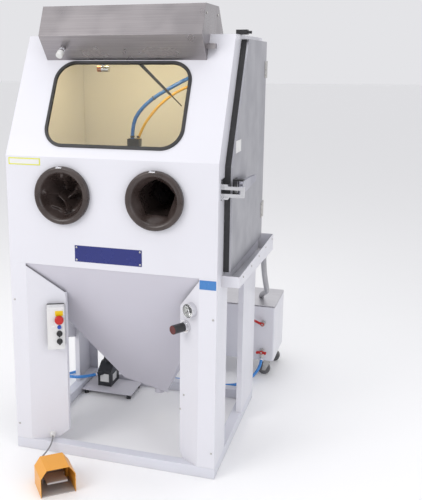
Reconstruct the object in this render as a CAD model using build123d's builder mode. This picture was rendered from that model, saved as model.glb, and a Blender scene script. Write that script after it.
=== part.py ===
"""Wet blasting cabinet on its stand, with the recycling tank, pump and foot pedal that serve it.

Millimetres. X runs to the operator's right, Y into the depth, Z up. The origin lies on the floor
plane, in the middle of the cabinet's front. Every piece is a solid of its own, in its own file.
"""

import os
from math import atan2, cos, degrees, hypot, radians, sin, tan

from build123d import *

# ---- Driving dimensions ----
cabinet_width = 940.0
cabinet_depth = 853.0
stand_height = 892.0
front_height = 1365.0  # top edge of the upright part of the front
cabinet_height = 1868.0
slope_run = 266.0  # how far the sloping front leans back
sheet = 3.0
rail_size = 50.0
rail_wall = 3.0
rail_corner = 3.0
part_gap = 0.3  # between pieces that move past each other
pin_play = 0.05  # radial running clearance of a pin or shaft in its bore

front_column_depth = 190.0
rear_column_depth_right = 300.0
rear_column_depth_left = 195.0
column_return = 25.0
column_lip_top = 835.0

window_length = 604.0
window_width = 384.0
window_corner = 87.0
window_centre = 245.5  # up the slope, from the front edge
glass_thickness = 6.0

port_spacing = 410.0
port_height = 1205.0
port_bore = 98.0  # radius inside the rings

door_front = 100.0
door_rear = 800.0
door_bottom = 900.0
door_top = 1849.0
door_step_height = 1340.0  # where the door's front edge starts to lean back
door_lean_end = 370.0
door_standoff = 25.0  # seal between the cabinet side and the door
door_seal_width = 30.0
door_opening_inset = 45.0

tank_length = 600.0
tank_width = 330.0
tank_height = 315.0
tank_left = -65.0
tank_front = 1120.0
tank_floor = 105.0
wheel_radius = 35.0
wheel_width = 24.0

pedal_yaw = 39.0
pedal_centre = (-166.0, -246.0)

half_width = cabinet_width / 2
os.makedirs("parts", exist_ok=True)


# ---- Helpers ----
def keep(piece, name):
    """Labels a finished piece and writes its file."""
    piece.label = name
    export_step(piece, f"parts/{name}.step")


def block(x_range, y_range, z_range, mode=Mode.ADD):
    """Box between two opposite corners."""
    ranges = (x_range, y_range, z_range)
    with Locations([tuple((low + high) / 2 for low, high in ranges)]):
        Box(*[abs(high - low) for low, high in ranges], mode=mode)


def rod(start, end, radius, mode=Mode.ADD):
    """Round bar from one point to another."""
    run = Vector(*end) - Vector(*start)
    with BuildSketch(Plane(origin=start, z_dir=run)) as section:
        Circle(radius)
    extrude(section.sketch, amount=run.length, mode=mode)


def cone(start, end, start_radius, end_radius, mode=Mode.ADD):
    """Tapered round bar from one point to another."""
    run = Vector(*end) - Vector(*start)
    with BuildSketch(Plane(origin=start, z_dir=run)) as near:
        Circle(start_radius)
    with BuildSketch(Plane(origin=end, z_dir=run)) as far:
        Circle(end_radius)
    loft([near.sketch.face(), far.sketch.face()], mode=mode)


def prism(plane, points, amount, mode=Mode.ADD):
    """Straight prism on a closed outline."""
    with BuildSketch(plane) as outline:
        with BuildLine():
            Polyline(*points, close=True)
        make_face()
    extrude(outline.sketch, amount=amount, mode=mode)


def slab(plane, size, corner, amount, centre=(0, 0), mode=Mode.ADD):
    """Plate with rounded corners, on a plane."""
    with BuildSketch(plane) as outline:
        with Locations(centre):
            RectangleRounded(size[0], size[1], corner)
    extrude(outline.sketch, amount=amount, mode=mode)


def disc(plane, centre, radius, amount, mode=Mode.ADD):
    """Round plate on a plane."""
    with BuildSketch(plane) as outline:
        with Locations(centre):
            Circle(radius)
    extrude(outline.sketch, amount=amount, mode=mode)


def mitre_offset(points, distance, closed=False):
    """Moves an outline to its left by a distance, with mitred corners."""
    normals = []
    for (x0, y0), (x1, y1) in zip(points, points[1:] + points[:1]):
        length = hypot(x1 - x0, y1 - y0)
        normals.append(((y0 - y1) / length, (x1 - x0) / length))
    moved = []
    for index, (x, y) in enumerate(points):
        before = normals[index - 1]
        after = normals[index]
        if not closed and index == 0:
            before = after
        if not closed and index == len(points) - 1:
            after = before
        scale = distance / (1 + before[0] * after[0] + before[1] * after[1])
        moved.append((x + scale * (before[0] + after[0]), y + scale * (before[1] + after[1])))
    return moved


def folded(points, thickness):
    """Closed outline of a sheet folded along an open outline."""
    return points + mitre_offset(points, thickness)[::-1]


def ring(plane, points, width, amount, mode=Mode.ADD):
    """Flat band of one width inside a closed outline."""
    with BuildSketch(plane) as outline:
        with BuildLine():
            Polyline(*points, close=True)
        make_face()
        with BuildLine():
            Polyline(*mitre_offset(points, width, closed=True), close=True)
        make_face(mode=Mode.SUBTRACT)
    extrude(outline.sketch, amount=amount, mode=mode)


def arc_radii(points):
    """Radius of each corner of a hose: as large as its two runs allow."""
    radii = []
    for before, corner, after in zip(points, points[1:], points[2:]):
        inward = Vector(*corner) - Vector(*before)
        outward = Vector(*after) - Vector(*corner)
        half_turn = radians(inward.get_angle(outward)) / 2
        radii.append(0.45 * min(inward.length, outward.length) / tan(half_turn))
    return radii


def hose(name, points, radius):
    """Round hose along straight runs joined by tangent arcs, with its figures printed."""
    radii = arc_radii(points)
    with BuildLine() as route:
        FilletPolyline(*points, radius=radii)
    start = Plane(origin=points[0], z_dir=Vector(*points[1]) - Vector(*points[0]))
    with BuildSketch(start) as section:
        Circle(radius)
    with BuildPart() as tube:
        sweep(section.sketch, path=route.wires()[0])
    length = route.wires()[0].length
    share = tube.part.volume / (length * section.sketch.area)
    listed = ", ".join(f"{value:.0f}" for value in radii)
    print(f"{name}: length {length:.0f}, volume share {share:.4f}, radii {listed}")
    return tube.part


# ---- Base frame: four welded tubes ----
rail_places = {
    "front": ((-half_width, half_width), (0, rail_size)),
    "rear": ((-half_width, half_width), (cabinet_depth - rail_size, cabinet_depth)),
    "left": ((-half_width, rail_size - half_width), (rail_size, cabinet_depth - rail_size)),
    "right": ((half_width - rail_size, half_width), (rail_size, cabinet_depth - rail_size)),
}
drain_radius = 4.0
rails = []
for side, (x_range, y_range) in rail_places.items():
    with BuildPart() as rail:
        block(x_range, y_range, (0, rail_size))
        lengthwise = Axis.X if side in ("front", "rear") else Axis.Y
        fillet(rail.edges().filter_by(lengthwise), rail_corner)
        inner = [(low + rail_wall, high - rail_wall) for low, high in (x_range, y_range)]
        block(inner[0], inner[1], (rail_wall, rail_size - rail_wall), mode=Mode.SUBTRACT)
        drain_at = (sum(x_range) / 2, sum(y_range) / 2)
        rod((*drain_at, -1), (*drain_at, rail_wall + 1), drain_radius, mode=Mode.SUBTRACT)
    rails.append(rail.part)
keep(Compound(children=rails), "base_frame")

# ---- Front columns: folded sheet with an angled panel towards the middle ----
right_crease = half_width - 76.0
right_panel_end = half_width - 173.0
right_panel_depth = 60.0
left_crease = half_width - 76.0
left_panel_end = half_width - 230.0
left_panel_depth = 72.0
inner_return = 20.0
column_shoulder = 748.0  # where the angled panel's sloping top meets its inner edge
shoulder_start = stand_height - 12  # where that slope starts, at the crease
column_toe = 85.0  # where its sloping foot meets its inner edge


def front_column(side, crease, panel_end, panel_depth):
    """Front column on one side: +1 is the right, -1 the left."""
    outline = [
        (side * (half_width - column_return), front_column_depth),
        (side * half_width, front_column_depth),
        (side * half_width, 0),
        (side * crease, 0),
        (side * panel_end, panel_depth),
        (side * panel_end, panel_depth + inner_return),
    ]
    height = stand_height - rail_size
    with BuildPart() as column:
        prism(Plane.XY.offset(rail_size), folded(outline, -side * sheet), height)
        beyond = panel_end - 10
        shoulder = [
            (side * crease, shoulder_start),
            (side * panel_end, column_shoulder),
            (side * beyond, column_shoulder),
            (side * beyond, stand_height + 5),
            (side * crease, stand_height + 5),
        ]
        prism(Plane.XZ.offset(10), shoulder, -(panel_depth + 60), mode=Mode.SUBTRACT)
        toe_start = crease + (panel_end - crease) * rail_size / panel_depth
        toe = [
            (side * toe_start, rail_size),
            (side * panel_end, column_toe),
            (side * beyond, column_toe),
            (side * beyond, rail_size - 5),
            (side * toe_start, rail_size - 5),
        ]
        prism(Plane.XZ.offset(10), toe, -(panel_depth + 60), mode=Mode.SUBTRACT)
        inside = half_width - sheet
        block(
            (side * (inside - column_return), side * inside),
            (front_column_depth - sheet - 1, front_column_depth + 1),
            (column_lip_top, stand_height + 1),
            mode=Mode.SUBTRACT,
        )
    return column.part


keep(front_column(1, right_crease, right_panel_end, right_panel_depth), "front_right_column")
keep(front_column(-1, left_crease, left_panel_end, left_panel_depth), "front_left_column")

# ---- Rear columns ----
rear_return = 50.0
rear_columns = []
for side, depth, lip in (
    (1, rear_column_depth_right, column_return),
    (-1, rear_column_depth_left, column_return),
):
    front_edge = cabinet_depth - depth
    outline = [
        (side * (half_width - lip), front_edge),
        (side * half_width, front_edge),
        (side * half_width, cabinet_depth),
        (side * (half_width - rear_return), cabinet_depth),
    ]
    with BuildPart() as column:
        height = stand_height - rail_size
        prism(Plane.XY.offset(rail_size), folded(outline, side * sheet), height)
        block(
            (side * (half_width - lip - 1), side * (half_width - sheet)),
            (front_edge - 1, front_edge + sheet + 1),
            (column_lip_top, stand_height + 1),
            mode=Mode.SUBTRACT,
        )
        block(
            (side * (half_width - rear_return - 1), side * (half_width - sheet)),
            (cabinet_depth - sheet - 1, cabinet_depth + 1),
            (column_lip_top, stand_height + 1),
            mode=Mode.SUBTRACT,
        )
    rear_columns.append(column.part)
keep(Compound(children=rear_columns), "rear_columns")

# ---- Chamber panels ----
chamber = [
    (0, stand_height),
    (0, front_height),
    (slope_run, cabinet_height),
    (cabinet_depth, cabinet_height),
    (cabinet_depth, stand_height),
]
chamber_inner = mitre_offset(chamber, -sheet)
slope_rise = cabinet_height - front_height
slope_length = hypot(slope_run, slope_rise)
slope_up = (0, slope_run / slope_length, slope_rise / slope_length)
slope_out = (0, -slope_rise / slope_length, slope_run / slope_length)
# Plane on the outside of the sloping front: x to the right, y up the slope, z outwards.
slope = Plane(origin=(0, 0, front_height), x_dir=(1, 0, 0), z_dir=slope_out)


def on_slope(x, up, out):
    """Point from its place on the sloping front."""
    return tuple(slope.from_local_coords(Vector(x, up, out)))


seal_lap = 8.0
hole_gap = 2.0
hole_size = (window_length + 2 * hole_gap, window_width + 2 * hole_gap)
hole_corner = window_corner + hole_gap
port_places = (-port_spacing / 2, port_spacing / 2)
port_neck = port_bore + 7.5
lamp_up = (468.0, 552.0)
lamp_half_length = 300.0
wiper_pivot = (52.0, 454.0)
wiper_shaft = 4.0

with BuildPart() as front_panel:
    skin = folded(chamber[:3], -sheet)
    skin[3:] = chamber_inner[:3][::-1]
    prism(Plane.YZ.offset(-half_width), skin, cabinet_width)
    for x in port_places:
        rod((x, -1, port_height), (x, sheet + 1, port_height), port_neck + 0.5, mode=Mode.SUBTRACT)
    slab(slope.offset(-sheet - 1), hole_size, hole_corner, sheet + 2, (0, window_centre), Mode.SUBTRACT)
    lamp_size = (2 * lamp_half_length, lamp_up[1] - lamp_up[0])
    slab(slope.offset(-sheet - 1), lamp_size, 10, sheet + 2, (0, sum(lamp_up) / 2), Mode.SUBTRACT)
    disc(slope.offset(-sheet - 1), wiper_pivot, wiper_shaft + pin_play, sheet + 2, Mode.SUBTRACT)
keep(front_panel.part, "front_panel")

with BuildPart() as top_panel:
    top_skin = [chamber[2], chamber[3], chamber_inner[3], chamber_inner[2]]
    prism(Plane.YZ.offset(-half_width), top_skin, cabinet_width)
keep(top_panel.part, "top_panel")

with BuildPart() as rear_panel:
    rear_skin = [chamber[3], chamber[4], chamber_inner[4], chamber_inner[3]]
    prism(Plane.YZ.offset(-half_width), rear_skin, cabinet_width)
keep(rear_panel.part, "rear_panel")

skirt_front_drop = 460.0
skirt_rear_drop = 303.0
with BuildPart() as left_side_panel:
    prism(Plane.YZ.offset(-half_width), chamber_inner, sheet)
    skirt = [
        (front_column_depth, stand_height),
        (front_column_depth, skirt_front_drop),
        (cabinet_depth - rear_column_depth_left, skirt_rear_drop),
        (cabinet_depth - rear_column_depth_left, stand_height),
    ]
    prism(Plane.YZ.offset(-half_width), skirt, sheet)
keep(left_side_panel.part, "left_side_panel")

door_outline = [
    (door_front, door_bottom),
    (door_rear, door_bottom),
    (door_rear, door_top),
    (door_lean_end, door_top),
    (door_front, door_step_height),
]
door_opening = mitre_offset(door_outline, door_opening_inset, closed=True)
with BuildPart() as right_side_frame:
    prism(Plane.YZ.offset(half_width - sheet), chamber_inner, sheet)
    prism(Plane.YZ.offset(half_width - sheet - 1), door_opening, sheet + 2, Mode.SUBTRACT)
keep(right_side_frame.part, "right_side_frame")

# ---- Hopper: four sloping walls down to a small slanted floor with a drain spigot ----
collar_height = 18.0
hopper_wall = 3.0
hopper_left = -94.0
hopper_right = 113.0
hopper_left_low = 219.0
hopper_right_low = 152.0
spigot_radius = 24.0
spigot_at = (70.0, 482.0)
spigot_low = 140.0
inside_half = half_width - sheet
inside_y = (sheet, cabinet_depth - sheet)
fall = (hopper_right - hopper_left, 0, hopper_right_low - hopper_left_low)
floor_length = hypot(fall[0], fall[2])


def hopper_funnel(inset, lift, mode=Mode.ADD):
    """Ruled funnel from the cabinet's rim to the slanted floor."""
    low, high = inside_y
    rim = [
        (-inside_half + inset, low + inset),
        (inside_half - inset, low + inset),
        (inside_half - inset, high - inset),
        (-inside_half + inset, high - inset),
    ]
    floor = [
        (inset, 419 + inset),
        (floor_length - inset, 459 + inset),
        (floor_length - inset, 505 - inset),
        (inset, 535 - inset),
    ]
    floor_normal = Vector(-fall[2], 0, fall[0])
    floor_plane = Plane(origin=(hopper_left, 0, hopper_left_low), x_dir=fall, z_dir=floor_normal)
    with BuildSketch(Plane.XY.offset(stand_height)) as top:
        with BuildLine():
            Polyline(*rim, close=True)
        make_face()
    with BuildSketch(floor_plane.offset(lift)) as bottom:
        with BuildLine():
            Polyline(*floor, close=True)
        make_face()
    loft([bottom.sketch.face(), top.sketch.face()], ruled=True, mode=mode)


with BuildPart() as hopper:
    hopper_funnel(0, 0)
    rim_z = (stand_height, stand_height + collar_height)
    block((-inside_half, inside_half), inside_y, rim_z)
    rod((*spigot_at, spigot_low), (*spigot_at, 200), spigot_radius)
    hopper_funnel(hopper_wall, hopper_wall, Mode.SUBTRACT)
    inner_x = (-inside_half + hopper_wall, inside_half - hopper_wall)
    inner_y = (inside_y[0] + hopper_wall, inside_y[1] - hopper_wall)
    block(inner_x, inner_y, (stand_height - 0.01, rim_z[1] + 1), Mode.SUBTRACT)
    rod((*spigot_at, spigot_low - 1), (*spigot_at, 230), spigot_radius - 4, Mode.SUBTRACT)
keep(hopper.part, "hopper")

# ---- Work grid resting on the hopper's collar ----
grid_low = stand_height + collar_height
grid_high = grid_low + 20
grid_x = (1 - inside_half, inside_half - 1)
grid_y = (inside_y[0] + 1, inside_y[1] - 1)
grid_bar = 4.0
grid_bars = 22
with BuildPart() as work_grid:
    block(grid_x, grid_y, (grid_low, grid_high))
    block(
        (grid_x[0] + grid_bar, grid_x[1] - grid_bar),
        (grid_y[0] + grid_bar, grid_y[1] - grid_bar),
        (grid_low - 1, grid_high + 1),
        mode=Mode.SUBTRACT,
    )
    pitch = (grid_x[1] - grid_x[0]) / (grid_bars + 1)
    for index in range(1, grid_bars + 1):
        bar_x = grid_x[0] + index * pitch
        block((bar_x - grid_bar / 2, bar_x + grid_bar / 2), grid_y, (grid_low, grid_high))
    for share in (0.25, 0.5, 0.75):
        bar_y = grid_y[0] + share * (grid_y[1] - grid_y[0])
        block(grid_x, (bar_y - grid_bar / 2, bar_y + grid_bar / 2), (grid_low, grid_high))
keep(work_grid.part, "work_grid")

# ---- Window: glass in a rubber profile that also grips the panel's edge ----
seal_outside = 6.0
seal_inside = 8.0
glass_out = 1.5
with BuildPart() as window_glass:
    glass_base = slope.offset(glass_out - glass_thickness)
    slab(glass_base, (window_length, window_width), window_corner, glass_thickness, (0, window_centre))
keep(window_glass.part, "window_glass")

with BuildPart() as window_seal:
    outer = (window_length + 2 * seal_lap, window_width + 2 * seal_lap)
    inner = (window_length - 12, window_width - 12)
    depth = seal_outside + seal_inside
    centre = (0, window_centre)
    slab(slope.offset(-seal_inside), outer, window_corner + seal_lap, depth, centre)
    fillet(window_seal.faces().sort_by(Axis(on_slope(0, 0, 0), slope_out))[-1].edges(), 4)
    slab(slope.offset(-seal_inside - 1), inner, window_corner - 6, depth + 2, centre, Mode.SUBTRACT)
    slab(glass_base, (window_length, window_width), window_corner, glass_thickness, centre, Mode.SUBTRACT)
    with BuildSketch(slope.offset(-sheet)) as groove:
        with Locations(centre):
            RectangleRounded(outer[0] + 10, outer[1] + 10, window_corner + seal_lap)
            RectangleRounded(*hole_size, hole_corner, mode=Mode.SUBTRACT)
    extrude(groove.sketch, amount=sheet, mode=Mode.SUBTRACT)
keep(window_seal.part, "window_seal")

wiper_out = -sheet - 7.0
with BuildPart() as wiper_arm:
    disc(slope.offset(-sheet - 17), wiper_pivot, wiper_shaft, 17 + sheet - 0.2)
    disc(slope.offset(-sheet - 17), wiper_pivot, 8, 17 - part_gap)
    arm = slope.offset(wiper_out - 8)
    elbow = (222.0, 300.0)
    tip = (278.0, 249.0)
    lean = atan2(elbow[1] - wiper_pivot[1], elbow[0] - wiper_pivot[0])
    across = (-sin(lean), cos(lean))
    for start, end, half, low, thick in ((wiper_pivot, elbow, 7, 0, 5), ((150, 366), tip, 3, 1, 7)):
        corners = [(start[0] + s * half * across[0], start[1] + s * half * across[1]) for s in (-1, 1)]
        corners += [(end[0] + s * half * 0.7 * across[0], end[1] + s * half * 0.7 * across[1]) for s in (1, -1)]
        prism(arm.offset(low), corners, thick)
keep(wiper_arm.part, "wiper_arm")

# ---- Arm ports: clamping rings and gauntlets ----
flange_radius = port_bore + 24.5
flange_depth = 25.0
rings = []
for x in port_places:
    with BuildPart() as port:
        with BuildSketch(Plane.XY.offset(port_height)) as section:
            with BuildLine():
                Polyline(
                    (x + port_bore, -flange_depth),
                    (x + flange_radius, -flange_depth),
                    (x + flange_radius, 0),
                    (x + port_neck, 0),
                    (x + port_neck, 28),
                    (x + port_bore, 28),
                    close=True,
                )
            make_face()
            fillet(section.vertices().group_by(Axis.Y)[0], 8)
        revolve(section.sketch, Axis((x, 0, port_height), (0, 1, 0)))
    rings.append(port.part)
keep(Compound(children=rings), "port_rings")

sleeve_wall = 3.0
sleeve = [(port_bore - 2, -20), (port_bore - 2, 20), (62, 300), (58, 380), (50, 400)]
for x, name in zip(port_places, ("gauntlet_left", "gauntlet_right")):
    with BuildPart() as gauntlet:
        outer = [(x + radius, y) for radius, y in sleeve]
        inner = [(x + radius - sleeve_wall, y - (sleeve_wall if y == 400 else 0)) for radius, y in sleeve]
        with BuildSketch(Plane.XY.offset(port_height)) as section:
            with BuildLine():
                Polyline(*outer, (x, 400), (x, 400 - sleeve_wall), *inner[::-1], close=True)
            make_face()
        revolve(section.sketch, Axis((x, 0, port_height), (0, 1, 0)))
    keep(gauntlet.part, name)

# ---- Light housing, lamp unit and wash tap ----
housing_half = 361.0
housing_skin = 2.0
housing_crest = cabinet_height + 120
housing = [(210, 1763), (130, 1864), (185, housing_crest), (408, housing_crest), (505, cabinet_height)]
with BuildPart() as light_housing:
    prism(Plane.YZ.offset(-housing_half), folded(housing, -housing_skin), 2 * housing_half)
    for x in (-housing_half, housing_half - housing_skin):
        prism(Plane.YZ.offset(x), housing + [(slope_run, cabinet_height)], housing_skin)
    block((housing_half, housing_half + 36), (203, 230), (1808, 1830))
    prism(Plane.YZ.offset(-housing_half - 1), chamber, 2 * housing_half + 2, Mode.SUBTRACT)
keep(light_housing.part, "light_housing")

with BuildPart() as light_unit:
    slab(slope, (620, 100), 4, 4, (0, 510))
    for x in (-305, 305):
        slab(slope.offset(4), (20, 60), 4, 50, (x, 515))
    for up in (490, 530):
        rod(on_slope(-300, up, 40), on_slope(300, up, 40), 13)
keep(light_unit.part, "light_unit")

tap_x = -266.0
(low_y, low_z), (high_y, high_z) = housing[:2]
tap_base = (tap_x, (low_y + high_y) / 2, (low_z + high_z) / 2)
tap_out = Vector(0, low_z - high_z, high_y - low_y).normalized()
tap_body_length = 28.0
spindle_length = 12.0
knob_length = 26.0
nozzle = (-133.0, 300.0, 1724.0)


def tap_point(out):
    """Point on the wash tap's axis."""
    return tuple(Vector(*tap_base) + tap_out * out)


with BuildPart() as wash_tap_body:
    rod(tap_point(0), tap_point(tap_body_length), 9)
    rod(tap_point(6), tap_point(12), 12)
    rod(tap_point(tap_body_length), tap_point(tap_body_length + spindle_length), 5)
with BuildPart() as spray_nozzle:
    rod(nozzle, (nozzle[0], nozzle[1], cabinet_height - sheet), 9)
    rod((nozzle[0] - 26, *nozzle[1:]), (nozzle[0] + 26, *nozzle[1:]), 13)
keep(Compound(children=[wash_tap_body.part, spray_nozzle.part]), "wash_tap_body")

with BuildPart() as wash_tap_knob:
    knob_start = tap_body_length + part_gap
    rod(tap_point(knob_start), tap_point(knob_start + knob_length), 15)
    fillet(wash_tap_knob.edges().filter_by(GeomType.CIRCLE), 3)
    rod(
        tap_point(knob_start - 1),
        tap_point(tap_body_length + spindle_length + part_gap),
        5 + pin_play,
        mode=Mode.SUBTRACT,
    )
keep(wash_tap_knob.part, "wash_tap_knob")

# ---- Door, seal and hinges ----
seal_clear = 0.3
door_inner_x = half_width + door_standoff
door_outer_x = door_inner_x + 8
knuckle_radius = 9.0
hinge_leaf = 3.0
hinge_x = door_outer_x + hinge_leaf - knuckle_radius
hinge_y = 818.0
hinge_pin = 4.0
hinge_heights = (1040.0, 1720.0)
knuckle_half = 14.0
leaf_half = 40.0

with BuildPart() as door_panel:
    prism(Plane.YZ.offset(door_outer_x - sheet), door_outline, sheet)
    ring(Plane.YZ.offset(door_inner_x), door_outline, door_seal_width, door_outer_x - sheet - door_inner_x)
keep(door_panel.part, "door_panel")

with BuildPart() as door_seal:
    seal_depth = door_standoff - seal_clear
    ring(Plane.YZ.offset(half_width + seal_clear), door_outline, door_seal_width, seal_depth)
keep(door_seal.part, "door_seal")

with BuildPart() as hinge_leaves_fixed:
    for z in hinge_heights:
        block((half_width, hinge_x - 5), (828, 850), (z - leaf_half, z + leaf_half))
        for low, high in ((z - leaf_half, z - knuckle_half), (z + knuckle_half, z + leaf_half)):
            rod((hinge_x, hinge_y, low), (hinge_x, hinge_y, high), knuckle_radius)
            block((hinge_x - 9, hinge_x - 5), (hinge_y, 830), (low, high))
        rod((hinge_x, hinge_y, z - leaf_half), (hinge_x, hinge_y, z + leaf_half), hinge_pin)
keep(hinge_leaves_fixed.part, "hinge_leaves_fixed")

with BuildPart() as hinge_leaves_moving:
    for z in hinge_heights:
        turn = knuckle_half - part_gap
        rod((hinge_x, hinge_y, z - turn), (hinge_x, hinge_y, z + turn), knuckle_radius)
        leaf_x = (door_outer_x, door_outer_x + hinge_leaf)
        block(leaf_x, (hinge_y - knuckle_radius - 1, hinge_y), (z - turn, z + turn))
        block(leaf_x, (760, hinge_y - knuckle_radius - 1), (z - leaf_half + 2, z + leaf_half - 2))
        pin_bore = hinge_pin + pin_play
        rod((hinge_x, hinge_y, z - turn - 1), (hinge_x, hinge_y, z + turn + 1), pin_bore, Mode.SUBTRACT)
keep(hinge_leaves_moving.part, "hinge_leaves_moving")

# ---- Door latch ----
latch_low = 1225.0
latch_high = 1290.0
latch_x = door_outer_x + 30
latch_y = 120.0
latch_pin = 4.0
ear = 7.0
lever_end = 395.0
with BuildPart() as latch_keeper:
    block((half_width, half_width + 4), (20, 95), (latch_low - 10, latch_high + 10))
    for z in (latch_low + 7, latch_high - 28):
        block((half_width + 4, half_width + 88), (50, 70), (z - 7, z + 7))
    block((half_width + 76, half_width + 90), (50, 70), (latch_low, latch_high - 21))
    for z in (latch_low - 9, latch_high - 21):
        block((half_width + 4, half_width + 26), (44, 74), (z, z + 9))
keep(latch_keeper.part, "latch_keeper")

with BuildPart() as latch_body:
    block((door_outer_x, door_outer_x + 6), (104, 165), (latch_low, latch_high))
    for z in (latch_low, latch_high - ear):
        block((door_outer_x, latch_x + 12), (latch_y - 12, latch_y + 14), (z, z + ear))
    rod((latch_x, latch_y, latch_low), (latch_x, latch_y, latch_high), latch_pin)
keep(latch_body.part, "latch_body")

with BuildPart() as latch_handle:
    low = latch_low + ear + part_gap
    high = latch_high - ear - part_gap
    rod((latch_x, latch_y, low), (latch_x, latch_y, high), 12)
    block((latch_x - 5, latch_x + 12), (latch_y - 18, latch_y), (low + 8, high - 8))
    profile = [(latch_y, low), (190, low + 2), (lever_end, low + 14), (lever_end, high - 12), (190, high), (latch_y, high)]
    prism(Plane.YZ.offset(latch_x - 2), profile, 14)
    fillet(latch_handle.edges().filter_by(Axis.X).group_by(Axis.Y)[-1], 8)
    rod((latch_x, latch_y, low - 1), (latch_x, latch_y, high + 1), latch_pin + pin_play, Mode.SUBTRACT)
keep(latch_handle.part, "latch_handle")

with BuildPart() as door_interlock:
    top = cabinet_height
    end = half_width + 30
    block((end - 48, end), (340, 372), (top, top + 20))
    rod((end, 350, top + 10), (end + 6, 350, top + 10), 5)
    block((end + 2, end + 5), (346, 382), (top + 6, top + 14))
    rod((end, 378, top + 10), (end + 12, 378, top + 10), 6)
keep(door_interlock.part, "door_interlock")

# ---- Drip tray under the door ----
tray_x = (half_width, half_width + 76)
tray_y = (75.0, 911.0)
tray_top = 890.0
tray_low_front = 843.0
tray_low_rear = 808.0
tray_wall = 2.0
tray_drain = (half_width + 38, 858.0)
tray_spigot = 16.0
with BuildPart() as drip_tray:
    fall_rate = (tray_low_rear - tray_low_front) / (tray_y[1] - tray_y[0])
    side_view = [(tray_y[0], tray_top), (tray_y[1], tray_top), (tray_y[1], tray_low_rear), (tray_y[0], tray_low_front)]
    prism(Plane.YZ.offset(tray_x[0]), side_view, tray_x[1] - tray_x[0])
    hollow = [
        (tray_y[0] + tray_wall, tray_top + 1),
        (tray_y[1] - tray_wall, tray_top + 1),
        (tray_y[1] - tray_wall, tray_low_rear + tray_wall),
        (tray_y[0] + tray_wall, tray_low_front + tray_wall),
    ]
    hollow_width = tray_x[1] - tray_x[0] - 2 * tray_wall
    prism(Plane.YZ.offset(tray_x[0] + tray_wall), hollow, hollow_width, Mode.SUBTRACT)
    spigot_top = tray_low_front + fall_rate * (tray_drain[1] - tray_y[0]) + 1
    rod((*tray_drain, spigot_top - 20), (*tray_drain, spigot_top), tray_spigot)
    rod((*tray_drain, spigot_top - 21), (*tray_drain, spigot_top + 5), tray_spigot - 4, Mode.SUBTRACT)
keep(drip_tray.part, "drip_tray")

drain_hose_radius = 14.0
drain_start = spigot_top - 20
drain_route = [
    (*tray_drain, drain_start),
    (509, 862, 735),
    (513, 882, 665),
    (515, 925, 605),
    (509, 985, 560),
    (498, 1050, 535),
    (482, 1120, 510),
    (462, 1190, 480),
    (440, 1250, 455),
    (428, 1285, 428),
]
keep(hose("tray_drain_hose", drain_route, drain_hose_radius), "tray_drain_hose")

# ---- Recycling tank ----
tank_x = (tank_left, tank_left + tank_length)
tank_y = (tank_front, tank_front + tank_width)
tank_rim = tank_floor + tank_height
lid_thickness = 3.0
lid_gap = 5.0
with BuildPart() as tank_body:
    block(tank_x, tank_y, (tank_floor, tank_rim))
    fillet(tank_body.edges().filter_by(Axis.Z), 8)
    hollow = [(low + sheet, high - sheet) for low, high in (tank_x, tank_y)]
    block(hollow[0], hollow[1], (tank_floor + sheet, tank_rim - sheet), Mode.SUBTRACT)
    mouth = [(low + 25, high - 25) for low, high in (tank_x, tank_y)]
    block(mouth[0], mouth[1], (tank_rim - sheet - 1, tank_rim + 1), Mode.SUBTRACT)
keep(tank_body.part, "tank_body")

with BuildPart() as tank_lid:
    lid_low = tank_rim + lid_gap
    block(tank_x, tank_y, (lid_low, lid_low + lid_thickness))
    fillet(tank_lid.edges().filter_by(Axis.Z), 8)
    step = [(low + 12, high - 12) for low, high in (tank_x, tank_y)]
    block(step[0], step[1], (tank_rim, lid_low))
keep(tank_lid.part, "tank_lid")

caster_front_y = tank_front + 60
caster_rear_y = tank_front + 270
caster_x = (tank_x[0] + 38, tank_x[1] - 38)
caster_trail = 22.0
fork_inner = 13.0
fork_outer = 16.0
axle_radius = 4.0
plate_low = tank_floor - 3
stem_radius = 6.0
upper_valve = (474.0, 331.0)
lower_valve = (473.0, 165.0)
valve_radius = 14.0
valve_face_y = tank_front - 38.0
outlet_y = valve_face_y + 12


def caster_fork(axle_x, axle_y, crown_x, crown_top):
    """Two legs and their crown, in the current part."""
    for side in (-1, 1):
        legs = sorted((side * fork_inner, side * fork_outer))
        leg_y = (axle_y + legs[0], axle_y + legs[1])
        low = wheel_radius
        outline = [
            (axle_x - 10, low - 10),
            (axle_x + 10, low - 10),
            (crown_x + 22, crown_top - 6),
            (crown_x + 22, crown_top),
            (crown_x - 22, crown_top),
            (crown_x - 22, crown_top - 6),
        ]
        prism(Plane.XZ.offset(-leg_y[1]), outline, leg_y[1] - leg_y[0])
    block((crown_x - 22, crown_x + 22), (axle_y - fork_outer, axle_y + fork_outer), (crown_top - 6, crown_top))
    rod((axle_x, axle_y - fork_outer - 3, wheel_radius), (axle_x, axle_y + fork_outer + 3, wheel_radius), axle_radius)


fittings = []
for x in caster_x:
    with BuildPart() as caster_plate:
        block((x - 30, x + 30), (caster_front_y - 30, caster_front_y + 30), (plate_low, tank_floor))
        rod((x, caster_front_y, plate_low - 8), (x, caster_front_y, plate_low), stem_radius)
    fittings.append(caster_plate.part)
    with BuildPart() as rear_caster:
        block((x - 30, x + 30), (caster_rear_y - 30, caster_rear_y + 30), (plate_low, tank_floor))
        caster_fork(x, caster_rear_y, x, plate_low)
    fittings.append(rear_caster.part)
for x, z in (upper_valve, lower_valve):
    with BuildPart() as valve:
        rod((x, tank_front, z), (x, valve_face_y + 10, z), 11)
        rod((x, tank_front - 12, z), (x, valve_face_y, z), valve_radius)
        rod((x, valve_face_y, z), (x, valve_face_y - 6, z), 5)
        if z == lower_valve[1]:
            rod((x, outlet_y, z), (x, outlet_y, z - 33), 11)
    fittings.append(valve.part)
keep(Compound(children=fittings), "tank_fittings")

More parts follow.
